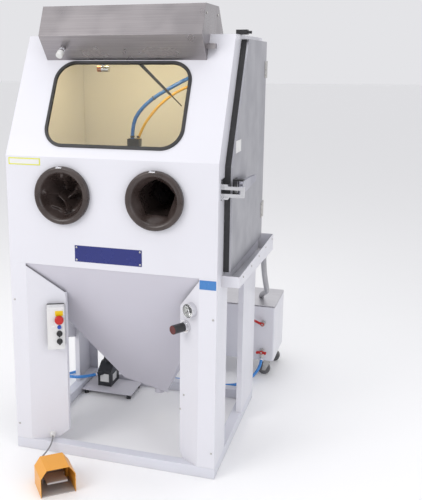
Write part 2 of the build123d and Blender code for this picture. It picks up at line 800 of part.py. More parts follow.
lever_gap_y = valve_face_y - part_gap
with BuildPart() as upper_valve_lever:
    x, z = upper_valve
    rod((x, lever_gap_y, z), (x, lever_gap_y - 5, z), 10)
    prism(Plane.XZ.offset(-lever_gap_y), [(x, z - 7), (x, z + 8), (x - 49, z + 26), (x - 49, z + 14)], 5)
    rod((x, lever_gap_y + 1, z), (x, lever_gap_y - 6, z), 5 + pin_play, Mode.SUBTRACT)
keep(upper_valve_lever.part, "upper_valve_lever")

with BuildPart() as lower_valve_lever:
    x, z = lower_valve
    rod((x, lever_gap_y, z), (x, lever_gap_y - 5, z), 10)
    block((x - 27, x + 27), (lever_gap_y - 5, lever_gap_y), (z - 7, z + 7))
    for side in (-1, 1):
        rod((x + side * 22, lever_gap_y, z), (x + side * 22, lever_gap_y - 12, z), 7)
    rod((x, lever_gap_y + 1, z), (x, lever_gap_y - 6, z), 5 + pin_play, Mode.SUBTRACT)
keep(lower_valve_lever.part, "lower_valve_lever")

for x, side in zip(caster_x, ("left", "right")):
    with BuildPart() as fork:
        crown_top = plate_low - part_gap
        caster_fork(x - caster_trail, caster_front_y, x, crown_top)
        stem = (x, caster_front_y)
        rod((*stem, plate_low - 12), (*stem, crown_top), 14)
        rod((*stem, plate_low - 8 - part_gap), (*stem, plate_low + 1), stem_radius + pin_play, Mode.SUBTRACT)
    keep(fork.part, f"caster_fork_{side}")
    places = {
        f"caster_wheel_front_{side}": (x - caster_trail, caster_front_y),
        f"caster_wheel_rear_{side}": (x, caster_rear_y),
    }
    for name, (wheel_x, wheel_y) in places.items():
        with BuildPart() as wheel:
            half = wheel_width / 2
            rod((wheel_x, wheel_y - half, wheel_radius), (wheel_x, wheel_y + half, wheel_radius), wheel_radius)
            fillet(wheel.edges().filter_by(GeomType.CIRCLE), 5)
            axle_bore = axle_radius + pin_play
            rod((wheel_x, wheel_y - 20, wheel_radius), (wheel_x, wheel_y + 20, wheel_radius), axle_bore, Mode.SUBTRACT)
        keep(wheel.part, name)

# ---- Slurry pump on its plate, and the hose that feeds it ----
pump_x = (-349.0, -273.0)
pump_y = (682.0, 800.0)
plate_x = (-417.0, -134.0)
plate_y = (614.0, 795.0)
foot_height = 24.0
plate_top = foot_height + sheet
pump_inlet = (-345.0, 664.0, 100.0)
with BuildPart() as pump:
    block(plate_x, plate_y, (foot_height, plate_top))
    for x in (plate_x[0] + 20, plate_x[1] - 20):
        for y in (plate_y[0] + 20, plate_y[1] - 20):
            rod((x, y, 0), (x, y, foot_height), 12)
    side_view = [
        (pump_y[0], plate_top),
        (pump_y[1], plate_top),
        (pump_y[1], 150),
        (pump_y[0] + 50, 150),
        (pump_y[0], 115),
    ]
    prism(Plane.YZ.offset(pump_x[0]), side_view, pump_x[1] - pump_x[0])
    rod(pump_inlet, (pump_inlet[0] + 30, pump_inlet[1] + 30, pump_inlet[2] + 2), 11)
    for x, y, top in ((-330, 760, 178), (-292, 760, 190)):
        rod((x, y, 149), (x, y, top), 10)
        rod((x, y, 155), (x, y, 165), 14)
    rod((-311, 730, 149), (-311, 730, 168), 12)
keep(pump.part, "pump")

supply_radius = 8.0
supply_route = [
    (lower_valve[0], outlet_y, lower_valve[1] - 33),
    (471, 1092, 97),
    (457, 1080, 58),
    (430, 1055, 24),
    (398, 1012, 9),
    (364, 962, 8.5),
    (290, 926, 8.5),
    (140, 938, 8.5),
    (-60, 928, 8.5),
    (-250, 941, 8.5),
    (-400, 935, 8.5),
    (-490, 915, 8.5),
    (-545, 868, 8.5),
    (-575, 800, 16),
    (-578, 728, 38),
    (-552, 662, 66),
    (-502, 618, 86),
    (-440, 604, 95),
    (-387, 624, 98),
    pump_inlet,
]
keep(hose("supply_hose", supply_route, supply_radius), "supply_hose")

# ---- Control box on the left angled panel ----
left_run = (left_crease - left_panel_end, left_panel_depth)
left_face = Plane(origin=(-left_crease, 0, 0), x_dir=(*left_run, 0), z_dir=(left_run[1], -left_run[0], 0))
box_along = 124.4
box_width = 78.0
box_low = 504.0
box_high = 702.0
box_depth = 55.0
box_middle = (box_along, (box_low + box_high) / 2)
box_size = (box_width, box_high - box_low)
control_row = box_along + 15
estop_z = 646.0
start_z = 610.0
selector_heights = {"selector_upper": 579.0, "selector_lower": 543.0}
cap_bore_depth = 14.0
button_radius = 9.0
selector_stem = 5.0
estop_stem = 8.0
with BuildPart() as control_box:
    slab(left_face, box_size, 4, 18, box_middle)
    slab(left_face.offset(18), (box_size[0] - 2, box_size[1] - 2), 5, box_depth - 18, box_middle)
    front = left_face.offset(box_depth)
    slab(front, (35, 23), 2, 1, (control_row, 672.5))
    slab(front, (35, 22), 2, 1, (control_row, 622.5))
    for z in (start_z, *selector_heights.values()):
        slab(front, (12, 14), 1, 0.8, (box_along - 12, z))
    for x in (-30, 30):
        for z in (box_low + 12, box_high - 12):
            disc(front, (box_along + x, z), 3, 1)
    disc(front, (control_row, start_z), button_radius + 4, 4)
    well = left_face.offset(box_depth - cap_bore_depth)
    disc(well, (control_row, start_z), button_radius + part_gap, cap_bore_depth + 5, Mode.SUBTRACT)
    disc(well, (control_row, estop_z), estop_stem + part_gap, cap_bore_depth + 5, Mode.SUBTRACT)
    for z in selector_heights.values():
        disc(well, (control_row, z), selector_stem + pin_play, cap_bore_depth + 5, Mode.SUBTRACT)
keep(control_box.part, "control_box")

push_travel = 5.0
with BuildPart() as estop_button:
    disc(left_face.offset(box_depth - 8), (control_row, estop_z), estop_stem, 8 + push_travel + 9)
    disc(left_face.offset(box_depth + push_travel + 4), (control_row, estop_z), 20, 16)
    fillet(estop_button.faces().sort_by(Axis((0, 0, 0), tuple(left_face.z_dir)))[-1].edges(), 7)
keep(estop_button.part, "estop_button")

with BuildPart() as start_button:
    disc(left_face.offset(box_depth - 8), (control_row, start_z), button_radius, 15)
keep(start_button.part, "start_button")

for name, z in selector_heights.items():
    with BuildPart() as selector:
        disc(left_face.offset(box_depth - 10), (control_row, z), selector_stem, 12)
        disc(left_face.offset(box_depth + part_gap), (control_row, z), 13, 5)
        slab(left_face.offset(box_depth + 5), (8, 26), 3, 11, (control_row, z))
    keep(selector.part, name)

# ---- Air regulator and gauge on the right angled panel ----
right_run = (right_crease - right_panel_end, -right_panel_depth)
right_face = Plane(origin=(right_crease, 0, 0), x_dir=(*right_run, 0), z_dir=(right_run[1], -right_run[0], 0))
gauge_at = (-40.6, 749.0)
regulator_at = (-76.4, 667.0)
gauge_depth = 26.0
needle_pin = 1.5
regulator_flange = 20.0
knob_stem = 8.0
with BuildPart() as air_regulator:
    disc(right_face, gauge_at, 32, gauge_depth)
    disc(right_face.offset(gauge_depth - 6), gauge_at, 29, 10, Mode.SUBTRACT)
    disc(right_face.offset(gauge_depth - 12), gauge_at, needle_pin + pin_play, 10, Mode.SUBTRACT)
    disc(right_face, regulator_at, 28, 10)
    disc(right_face.offset(10), regulator_at, 22, regulator_flange - 10)
    disc(right_face.offset(regulator_flange), regulator_at, knob_stem, 12)
keep(air_regulator.part, "air_regulator")

with BuildPart() as gauge_needle:
    disc(right_face.offset(gauge_depth - 11), gauge_at, needle_pin, 9)
    disc(right_face.offset(gauge_depth - 5), gauge_at, 4, 2)
    lean = radians(225)
    tip = (gauge_at[0] + 24 * cos(lean), gauge_at[1] + 24 * sin(lean))
    side = (1.6 * -sin(lean), 1.6 * cos(lean))
    pointer = [
        (gauge_at[0] + side[0], gauge_at[1] + side[1]),
        (gauge_at[0] - side[0], gauge_at[1] - side[1]),
        tip,
    ]
    prism(right_face.offset(gauge_depth - 4.5), pointer, 1)
keep(gauge_needle.part, "gauge_needle")

with BuildPart() as regulator_knob:
    knob_base = right_face.offset(regulator_flange + part_gap)
    disc(knob_base, regulator_at, 19.5, 57)
    fillet(regulator_knob.edges().filter_by(GeomType.CIRCLE), 3)
    disc(right_face.offset(regulator_flange), regulator_at, knob_stem + pin_play, 12 + part_gap, Mode.SUBTRACT)
keep(regulator_knob.part, "regulator_knob")

# ---- Foot pedal: y of its own plane runs from its open front to its back ----
yaw = radians(pedal_yaw)
pedal = Plane(origin=(*pedal_centre, 0), x_dir=(cos(yaw), sin(yaw), 0), z_dir=(0, 0, 1))
pedal_half_width = 74.0
pedal_half_length = 82.0
guard_height = 120.0
guard_skin = 2.0
treadle_pivot = (30.0, 32.0)
treadle_half = 43.0
treadle_pin = 4.0
pedal_gland = (0.0, 92.0, 26.0)
gland_radius = 8.0


def pedal_point(x, y, z):
    """Point from its place in the pedal's own plane."""
    return tuple(pedal.from_local_coords(Vector(x, y, z)))


def pedal_section(x):
    """Upright plane along the pedal's length."""
    return Plane(origin=pedal_point(x, 0, 0), x_dir=pedal.y_dir, z_dir=pedal.x_dir)


def pedal_cross(y):
    """Upright plane across the pedal, facing its front."""
    return Plane(origin=pedal_point(0, y, 0), x_dir=pedal.x_dir, z_dir=-pedal.y_dir)


with BuildPart(pedal) as pedal_base:
    inside = pedal_half_width - guard_skin - 1
    block((-inside, inside), (4 - pedal_half_length, 38), (0, 4))
    block((-55, 55), (38, 76), (0, 4))
    block((-48, 48), (46, 76), (0, 50))
    for side in (-1, 1):
        ears = sorted((side * (treadle_half + 1), side * (treadle_half + 6)))
        block(ears, (18, 44), (4, 42))
    y, z = treadle_pivot
    rod(pedal_point(-treadle_half - 6, y, z), pedal_point(treadle_half + 6, y, z), treadle_pin)
    rod(pedal_point(0, 70, pedal_gland[2]), pedal_point(*pedal_gland), gland_radius)
keep(pedal_base.part, "pedal_base")

with BuildPart(pedal) as pedal_treadle:
    y, z = treadle_pivot
    prism(pedal_section(-treadle_half), [(y, z), (y, z + 8), (-66, 54), (-66, 46)], 2 * treadle_half)
    rod(pedal_point(-treadle_half, y, z), pedal_point(treadle_half, y, z), 9)
    rod(pedal_point(-60, y, z), pedal_point(60, y, z), treadle_pin + pin_play, Mode.SUBTRACT)
keep(pedal_treadle.part, "pedal_treadle")

rear_half = 62.0
with BuildPart(pedal) as pedal_guard:
    w = pedal_half_width
    hood = [(-w, 0), (-w, 84), (-w + 26, guard_height), (w - 26, guard_height), (w, 84), (w, 0)]
    prism(pedal_cross(-pedal_half_length), hood, -(pedal_half_length + 42))
    r = rear_half
    back = [(-r, 0), (-r, 66), (-r + 20, 96), (r - 20, 96), (r, 66), (r, 0)]
    prism(pedal_cross(42), back, -(pedal_half_length - 42))
    t = guard_skin
    hood_inner = [(-w + t, -1), *mitre_offset(hood, -t)[1:-1], (w - t, -1)]
    prism(pedal_cross(-pedal_half_length - 1), hood_inner, -(pedal_half_length + 43 - t), Mode.SUBTRACT)
    back_inner = [(-r + t, -1), *mitre_offset(back, -t)[1:-1], (r - t, -1)]
    prism(pedal_cross(30), back_inner, -(pedal_half_length - 30 - t), Mode.SUBTRACT)
    gland_hole = gland_radius + 0.5
    rod(pedal_point(0, 78, pedal_gland[2]), pedal_point(0, 90, pedal_gland[2]), gland_hole, Mode.SUBTRACT)
keep(pedal_guard.part, "pedal_guard")

# ---- Pedal cable and its gland on the left angled panel ----
gland_at = (93.8, 70.0)
gland_length = 24.0
with BuildPart() as cable_gland:
    disc(left_face, gland_at, 14, 9)
    disc(left_face.offset(9), gland_at, 10, gland_length - 9)
keep(cable_gland.part, "cable_gland")

pedal_cable_radius = 3.5
cable_start = tuple(left_face.from_local_coords(Vector(*gland_at, gland_length)))
pedal_cable_route = [
    cable_start,
    (-289, -4, 66),
    (-288, -25, 50),
    (-297, -43, 30),
    (-310, -60, 12),
    (-317, -85, 4.5),
    (-309, -112, 4),
    (-287, -131, 4),
    (-262, -142, 10),
    (-240, -154, 21),
    pedal_point(*pedal_gland),
]
keep(hose("pedal_cable", pedal_cable_route, pedal_cable_radius), "pedal_cable")

# ---- Blast gun hanging on its hoses inside the cabinet ----
gun_x = -80.0
gun_y = 550.0
gun_top = 1394.0
with BuildPart() as blast_gun:
    block((gun_x - 30, gun_x + 30), (gun_y - 20, gun_y + 20), (gun_top - 36, gun_top))
    rod((gun_x, gun_y, gun_top - 150), (gun_x, gun_y, gun_top - 36), 20)
    cone((gun_x, gun_y, gun_top - 150), (gun_x, gun_y, gun_top - 190), 18, 11)
    rod((gun_x, gun_y, gun_top - 150), (gun_x, gun_y - 50, gun_top - 110), 12)
keep(blast_gun.part, "blast_gun")

rear_inside = cabinet_depth - sheet
gun_hose_routes = {
    "blast_air": (
        9.0,
        [
            (310, rear_inside, 1690), (300, 790, 1702), (272, 715, 1712), (228, 645, 1706),
            (170, 590, 1678), (99, 556, 1636), (15, 552, 1589), (-51, 550, 1530),
            (-88, 550, 1466), (-90, 550, gun_top),
        ],
    ),
    "slurry": (
        6.5,
        [
            (350, rear_inside, 1650), (342, 790, 1662), (315, 715, 1674), (270, 648, 1672),
            (200, 600, 1652), (128, 575, 1620), (60, 562, 1572), (5, 556, 1512),
            (-38, 552, 1452), (-60, 550, gun_top),
        ],
    ),
}
hoses = [hose(name, route, radius) for name, (radius, route) in gun_hose_routes.items()]
keep(Compound(children=hoses), "gun_hoses")

# ---- Blank plates on the front ----
plate_skin = 0.8
plates = {
    "maker_plate": ((-156, 147), (920, 991)),
    "safety_label": ((14 - half_width, 163 - half_width), (1327, 1357)),
    "column_label": ((half_width - 74, half_width - 4), (847, 886)),
}
plate_parts = []
for x_range, z_range in plates.values():
    with BuildPart() as plate:
        block(x_range, (-plate_skin, 0), z_range)
    plate_parts.append(plate.part)
keep(Compound(children=plate_parts), "name_plates")
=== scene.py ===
"""Looks of the wet blasting cabinet: camera, hoses, gauntlets, small trim, materials and studio."""

from math import cos, exp, hypot, pi, radians, sin

import bmesh
import bpy
from mathutils import Matrix, Vector


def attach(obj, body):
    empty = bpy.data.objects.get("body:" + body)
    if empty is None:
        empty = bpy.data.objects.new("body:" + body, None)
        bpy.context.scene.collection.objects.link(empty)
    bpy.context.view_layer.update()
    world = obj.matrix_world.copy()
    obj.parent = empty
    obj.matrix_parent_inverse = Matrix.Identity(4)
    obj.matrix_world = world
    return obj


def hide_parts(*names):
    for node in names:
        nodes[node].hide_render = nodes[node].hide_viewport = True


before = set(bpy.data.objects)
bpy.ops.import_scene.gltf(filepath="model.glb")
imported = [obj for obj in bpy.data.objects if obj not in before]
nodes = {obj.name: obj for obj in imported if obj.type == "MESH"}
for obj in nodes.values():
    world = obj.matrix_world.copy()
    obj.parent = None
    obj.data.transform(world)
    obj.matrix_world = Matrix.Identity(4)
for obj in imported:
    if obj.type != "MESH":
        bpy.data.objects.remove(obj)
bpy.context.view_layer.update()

# ---- Camera ----
camera_data = bpy.data.cameras.new("camera")
camera = bpy.data.objects.new("camera", camera_data)
bpy.context.scene.collection.objects.link(camera)
bpy.context.scene.camera = camera
camera.location = (1.1395, -2.8268, 1.7547)
camera.rotation_euler = (pi / 2 - 0.213, 0, 0.312)
camera_data.lens = 53.63
camera_data.sensor_width = 36
camera_data.shift_x = 0.1014
camera_data.shift_y = -0.0536


# ---- Shader groups ----
def new_group(name, inputs, outputs):
    """Empty shader group with named sockets."""
    tree = bpy.data.node_groups.new(name, "ShaderNodeTree")
    for label, kind, value in inputs:
        socket = tree.interface.new_socket(label, in_out="INPUT", socket_type=kind)
        socket.default_value = value
    for label, kind in outputs:
        tree.interface.new_socket(label, in_out="OUTPUT", socket_type=kind)
    return tree, tree.nodes.new("NodeGroupInput"), tree.nodes.new("NodeGroupOutput")


def add_node(tree, kind, links=(), **settings):
    """Node with its settings and its incoming links, given as (input, source socket or value)."""
    node = tree.nodes.new(kind)
    for key, value in settings.items():
        setattr(node, key, value)
    for socket, source in links:
        if isinstance(source, bpy.types.NodeSocket):
            tree.links.new(source, node.inputs[socket])
        else:
            node.inputs[socket].default_value = source
    return node


def noise(tree, scale, detail=3.0, stretch=None):
    """Noise over the object's own coordinates, stretched where asked."""
    where = add_node(tree, "ShaderNodeTexCoord").outputs["Object"]
    if stretch is not None:
        links = [(0, where), (1, stretch)]
        where = add_node(tree, "ShaderNodeVectorMath", links, operation="MULTIPLY").outputs[0]
    links = [("Vector", where), ("Scale", scale), ("Detail", detail)]
    return add_node(tree, "ShaderNodeTexNoise", links).outputs["Fac"]


def remap(tree, source, low, high, to_low, to_high):
    """Value moved from one span to another, kept within it."""
    links = [("Value", source), ("From Min", low), ("From Max", high)]
    links += [("To Min", to_low), ("To Max", to_high)]
    return add_node(tree, "ShaderNodeMapRange", links).outputs["Result"]


def mixed(tree, mask, first, second):
    """Colour between two colours."""
    links = [(0, mask), (6, first), (7, second)]
    return add_node(tree, "ShaderNodeMix", links, data_type="RGBA").outputs[2]


def maths(tree, operation, first, second):
    """One arithmetic step."""
    return add_node(tree, "ShaderNodeMath", [(0, first), (1, second)], operation=operation).outputs[0]


COLOUR = "NodeSocketColor"
VALUE = "NodeSocketFloat"
VECTOR = "NodeSocketVector"


def coat_group():
    """Sprayed coat: slight tone drift, fine orange peel, rounded sheet edges and painted shade in corners."""
    tree, given, out = new_group(
        "sprayed_coat",
        [
            ("Colour", COLOUR, (0.8, 0.8, 0.8, 1)),
            ("Dust colour", COLOUR, (0.4, 0.38, 0.36, 1)),
            ("Drift", VALUE, 0.05),
            ("Roughness", VALUE, 0.4),
            ("Peel scale", VALUE, 260.0),
            ("Peel height", VALUE, 0.05),
            ("Edge radius", VALUE, 0.0015),
            ("Corner dust", VALUE, 0.35),
        ],
        [("Colour", COLOUR), ("Roughness", VALUE), ("Normal", VECTOR)],
    )
    broad = noise(tree, 2.3, 4.0)
    smear = noise(tree, 9.0, 6.0, (1.0, 1.0, 0.35))
    drift = maths(tree, "MULTIPLY", remap(tree, broad, 0.35, 0.7, 0.0, 1.0), given.outputs["Drift"])
    toned = mixed(tree, drift, given.outputs["Colour"], given.outputs["Dust colour"])
    # Painted shade: ambient occlusion darkens the colour in corners and hollows towards the darker colour,
    # broken up by the smear noise.
    hollow = add_node(tree, "ShaderNodeAmbientOcclusion", [("Distance", 0.05)], samples=4).outputs["AO"]
    corner = remap(tree, hollow, 0.25, 0.85, 1.0, 0.0)
    broken = maths(tree, "MULTIPLY", corner, remap(tree, smear, 0.3, 0.7, 0.3, 1.0))
    shade_amount = maths(tree, "MULTIPLY", broken, given.outputs["Corner dust"])
    tree.links.new(mixed(tree, shade_amount, toned, given.outputs["Dust colour"]), out.inputs["Colour"])
    rough = maths(tree, "ADD", given.outputs["Roughness"], remap(tree, smear, 0.35, 0.7, -0.05, 0.09))
    tree.links.new(rough, out.inputs["Roughness"])
    edge = add_node(tree, "ShaderNodeBevel", [("Radius", given.outputs["Edge radius"])], samples=4)
    peel = noise(tree, given.outputs["Peel scale"], 2.0)
    links = [("Height", peel), ("Strength", given.outputs["Peel height"]), ("Distance", 0.001)]
    bump = add_node(tree, "ShaderNodeBump", [*links, ("Normal", edge.outputs["Normal"])])
    tree.links.new(bump.outputs["Normal"], out.inputs["Normal"])
    return tree


def grain_group():
    """Ground or brushed metal: fine lines along one direction, smudges and rounded edges."""
    tree, given, out = new_group(
        "brushed_grain",
        [
            ("Colour", COLOUR, (0.6, 0.6, 0.6, 1)),
            ("Dark colour", COLOUR, (0.4, 0.4, 0.4, 1)),
            ("Stretch", VECTOR, (3.0, 500.0, 500.0)),
            ("Roughness", VALUE, 0.3),
            ("Line depth", VALUE, 0.1),
            ("Smudge", VALUE, 0.3),
            ("Edge radius", VALUE, 0.001),
        ],
        [("Colour", COLOUR), ("Roughness", VALUE), ("Normal", VECTOR)],
    )
    lines = noise(tree, 1.0, 4.0, given.outputs["Stretch"])
    smudge = noise(tree, 6.0, 2.0)
    shade = remap(tree, lines, 0.3, 0.7, 0.0, 0.6)
    worn = maths(tree, "MULTIPLY", remap(tree, smudge, 0.4, 0.75, 0.0, 1.0), given.outputs["Smudge"])
    darker = maths(tree, "ADD", shade, worn)
    toned = mixed(tree, darker, given.outputs["Colour"], given.outputs["Dark colour"])
    tree.links.new(toned, out.inputs["Colour"])
    rough = maths(tree, "ADD", given.outputs["Roughness"], remap(tree, smudge, 0.35, 0.75, -0.05, 0.15))
    tree.links.new(rough, out.inputs["Roughness"])
    edge = add_node(tree, "ShaderNodeBevel", [("Radius", given.outputs["Edge radius"])], samples=4)
    links = [("Height", lines), ("Strength", given.outputs["Line depth"]), ("Distance", 0.0005)]
    bump = add_node(tree, "ShaderNodeBump", [*links, ("Normal", edge.outputs["Normal"])])
    tree.links.new(bump.outputs["Normal"], out.inputs["Normal"])
    return tree


def moulded_group():
    """Moulded rubber or plastic: fine pebble, chalky bloom and rounded edges."""
    tree, given, out = new_group(
        "moulded_skin",
        [
            ("Colour", COLOUR, (0.05, 0.05, 0.05, 1)),
            ("Bloom colour", COLOUR, (0.2, 0.19, 0.18, 1)),
            ("Bloom", VALUE, 0.3),
            ("Roughness", VALUE, 0.5),
            ("Pebble scale", VALUE, 400.0),
            ("Pebble height", VALUE, 0.1),
            ("Edge radius", VALUE, 0.001),
        ],
        [("Colour", COLOUR), ("Roughness", VALUE), ("Normal", VECTOR)],
    )
    bloom = remap(tree, noise(tree, 14.0, 6.0), 0.42, 0.72, 0.0, 1.0)
    amount = maths(tree, "MULTIPLY", bloom, given.outputs["Bloom"])
    toned = mixed(tree, amount, given.outputs["Colour"], given.outputs["Bloom colour"])
    tree.links.new(toned, out.inputs["Colour"])
    rough = maths(tree, "ADD", given.outputs["Roughness"], maths(tree, "MULTIPLY", bloom, 0.15))
    tree.links.new(rough, out.inputs["Roughness"])
    edge = add_node(tree, "ShaderNodeBevel", [("Radius", given.outputs["Edge radius"])], samples=4)
    pebble = noise(tree, given.outputs["Pebble scale"], 2.0)
    links = [("Height", pebble), ("Strength", given.outputs["Pebble height"]), ("Distance", 0.0006)]
    bump = add_node(tree, "ShaderNodeBump", [*links, ("Normal", edge.outputs["Normal"])])
    tree.links.new(bump.outputs["Normal"], out.inputs["Normal"])
    return tree


def zone_group():
    """Mask that is one between two heights along a direction of the object's own space."""
    tree, given, out = new_group(
        "zone_mask",
        [("Direction", VECTOR, (0, 0, 1)), ("Low", VALUE, 0.0), ("High", VALUE, 1.0)],
        [("Mask", VALUE)],
    )
    where = add_node(tree, "ShaderNodeTexCoord").outputs["Object"]
    links = [(0, where), (1, given.outputs["Direction"])]
    height = add_node(tree, "ShaderNodeVectorMath", links, operation="DOT_PRODUCT").outputs["Value"]
    above = maths(tree, "GREATER_THAN", height, given.outputs["Low"])
    below = maths(tree, "LESS_THAN", height, given.outputs["High"])
    tree.links.new(maths(tree, "MULTIPLY", above, below), out.inputs["Mask"])
    return tree


SPRAYED_COAT = coat_group()
BRUSHED_GRAIN = grain_group()
MOULDED_SKIN = moulded_group()
ZONE_MASK = zone_group()


def rgba(colour):
    """Colour with full cover."""
    return (*colour, 1.0)


def surfaced(name, group, values, zones=(), **shader):
    """Material whose colour, roughness and normal come from one group; zones paint over its colour.

    A zone is (colour, [(direction, low, high), ...]): it is painted where all its bands overlap.
    """
    material = bpy.data.materials.new(name)
    material.use_nodes = True
    tree = material.node_tree
    principled = tree.nodes["Principled BSDF"]
    skin = tree.nodes.new("ShaderNodeGroup")
    skin.node_tree = group
    for key, value in values.items():
        skin.inputs[key].default_value = value
    colour = skin.outputs["Colour"]
    for painted, bands in zones:
        mask = None
        for direction, low, high in bands:
            band = tree.nodes.new("ShaderNodeGroup")
            band.node_tree = ZONE_MASK
            band.inputs["Direction"].default_value = direction
            band.inputs["Low"].default_value = low
            band.inputs["High"].default_value = high
            inside = band.outputs["Mask"]
            mask = inside if mask is None else maths(tree, "MULTIPLY", mask, inside)
        colour = mixed(tree, mask, colour, rgba(painted))
    tree.links.new(colour, principled.inputs["Base Color"])
    tree.links.new(skin.outputs["Roughness"], principled.inputs["Roughness"])
    tree.links.new(skin.outputs["Normal"], principled.inputs["Normal"])
    for key, value in shader.items():
        principled.inputs[key.replace("_", " ")].default_value = value
    return material


def coat(name, colour, roughness=0.38, drift_and_shade=(0.42, 0.4, 0.38), zones=(), shader=None, **extra):
    """Sprayed coat in one colour."""
    # The second colour serves both the random tone drift and the painted shade in corners.
    values = {"Colour": rgba(colour), "Dust colour": rgba(drift_and_shade), "Roughness": roughness}
    values.update({key.replace("_", " "): value for key, value in extra.items()})
    return surfaced(name, SPRAYED_COAT, values, zones, **(shader or {}))


def metal(name, colour, dark, roughness=0.3, zones=(), **extra):
    """Bare metal with a grain."""
    values = {"Colour": rgba(colour), "Dark colour": rgba(dark), "Roughness": roughness}
    values.update({key.replace("_", " "): value for key, value in extra.items()})
    return surfaced(name, BRUSHED_GRAIN, values, zones, Metallic=1.0)


def moulded(name, colour, bloom_colour, roughness=0.5, zones=(), shader=None, **extra):
    """Rubber or plastic."""
    values = {"Colour": rgba(colour), "Bloom colour": rgba(bloom_colour), "Roughness": roughness}
    values.update({key.replace("_", " "): value for key, value in extra.items()})
    return surfaced(name, MOULDED_SKIN, values, zones, **(shader or {}))

# ---- Materials ----
UP = (0, 0, 1)
LEFT_OUT = (0.4235, -0.9059, 0)  # outwards from the left angled panel
LEFT_BASE = -0.1669  # that panel's height along this direction
RIGHT_OUT = (-0.5261, -0.8505, 0)  # outwards from the right angled panel
RIGHT_BASE = -0.2073
BOX_FRONT = LEFT_BASE + 0.0552

# The corner amount on each coat sets how strongly painted shade darkens its corners and hollows.
white_coat = coat("white_coat", (0.72, 0.72, 0.77), 0.33, Corner_dust=0.3, Drift=0.06)
frame_coat = coat("frame_coat", (0.68, 0.69, 0.755), 0.4, Corner_dust=0.45, Drift=0.12)
hopper_coat = coat("hopper_coat", (0.6, 0.59, 0.66), 0.42, Corner_dust=0.3, Drift=0.1)
tray_coat = coat("tray_coat", (0.72, 0.72, 0.77), 0.4, Corner_dust=0.6, Drift=0.15)
door_lines = (400, 400, 3)
door_coat = metal(
    "door_grey", (0.5, 0.5, 0.53), (0.38, 0.38, 0.41), 0.42, Stretch=door_lines, Line_depth=0.05
)
stainless = metal(
    "brushed_stainless", (0.39, 0.365, 0.375), (0.25, 0.235, 0.24), 0.3,
    Line_depth=0.06, Smudge=0.1, Edge_radius=0.003,
)
lid_steel = metal("lid_steel", (0.74, 0.73, 0.75), (0.55, 0.54, 0.56), 0.42, Line_depth=0.05)
grid_steel = metal("grid_steel", (0.45, 0.44, 0.43), (0.25, 0.24, 0.23), 0.45, Smudge=0.6)
plain_chrome = metal("plain_chrome", (0.78, 0.78, 0.8), (0.6, 0.6, 0.62), 0.14, Line_depth=0.02, Smudge=0.2)
lever_alloy = metal("lever_alloy", (0.52, 0.52, 0.58), (0.36, 0.36, 0.41), 0.33, Stretch=(40, 40, 40))
zinc_plate = metal("zinc_plate", (0.62, 0.61, 0.58), (0.4, 0.39, 0.37), 0.32, Stretch=(60, 60, 60))
black_rubber = moulded("black_rubber", (0.02, 0.02, 0.022), (0.09, 0.085, 0.085), 0.42, Pebble_height=0.06)
ring_rubber = moulded("ring_rubber", (0.026, 0.022, 0.022), (0.08, 0.07, 0.068), 0.3, Pebble_height=0.03)
door_rubber = moulded("door_rubber", (0.025, 0.025, 0.027), (0.08, 0.08, 0.08), 0.6, Pebble_scale=150.0)
glove_rubber = moulded(
    "glove_rubber", (0.04, 0.028, 0.025), (0.11, 0.085, 0.078), 0.25, Bloom=0.35, Pebble_height=0.05
)
tyre_rubber = moulded("tyre_rubber", (0.1, 0.1, 0.105), (0.25, 0.24, 0.23), 0.6, Bloom=0.5)
black_plastic = moulded("black_plastic", (0.018, 0.018, 0.02), (0.07, 0.07, 0.07), 0.4)
white_plastic = moulded("white_plastic", (0.75, 0.75, 0.74), (0.6, 0.59, 0.56), 0.3, Bloom=0.3)
lamp_plastic = moulded("lamp_plastic", (0.8, 0.8, 0.78), (0.7, 0.7, 0.66), 0.4, Bloom=0.2)
red_plastic = moulded("red_plastic", (0.5, 0.012, 0.01), (0.3, 0.03, 0.03), 0.28, Bloom=0.25)
blue_plastic = moulded("blue_plastic", (0.01, 0.06, 0.4), (0.05, 0.1, 0.3), 0.28, Bloom=0.25)
pump_zones = [((0.62, 0.61, 0.66), [(UP, 0.0235, 0.0275)])]
pump_black = moulded("pump_black", (0.02, 0.022, 0.027), (0.08, 0.08, 0.085), 0.38, pump_zones)
# The second colours of these two coats serve the tone drift and the painted shade in corners.
pedal_paint = coat(
    "pedal_paint", (0.82, 0.36, 0.035), 0.34, (0.3, 0.17, 0.03), Corner_dust=0.5, Peel_height=0.12
)
pedal_iron = coat("pedal_iron", (0.42, 0.39, 0.38), 0.5, (0.2, 0.18, 0.17), Peel_scale=160.0, Peel_height=0.3)
blue_tube = moulded("blue_tube", (0.02, 0.12, 0.48), (0.04, 0.16, 0.5), 0.22, Bloom=0.4, Pebble_height=0.02)
feed_tube = moulded("feed_tube", (0.04, 0.22, 0.6), (0.06, 0.28, 0.62), 0.25, Bloom=0.4, Pebble_height=0.02)
yellow_tube = moulded("yellow_tube", (0.6, 0.35, 0.03), (0.5, 0.3, 0.06), 0.3, Bloom=0.3, Pebble_height=0.02)
grey_tube = moulded("grey_tube", (0.34, 0.34, 0.36), (0.5, 0.5, 0.5), 0.35, Bloom=0.4, Pebble_height=0.05)
grey_cable = moulded("grey_cable", (0.22, 0.22, 0.23), (0.35, 0.35, 0.35), 0.45, Pebble_height=0.03)
box_zones = [
    ((0.015, 0.015, 0.017), [(LEFT_OUT, LEFT_BASE - 0.01, LEFT_BASE + 0.018)]),
    ((0.8, 0.55, 0.0), [(LEFT_OUT, BOX_FRONT, 1), (UP, 0.66, 0.685)]),
    ((0.8, 0.8, 0.8), [(LEFT_OUT, BOX_FRONT, 1), (UP, 0.61, 0.635)]),
]
box_plastic = moulded("box_plastic", (0.74, 0.74, 0.74), (0.6, 0.59, 0.57), 0.32, box_zones, Bloom=0.25)
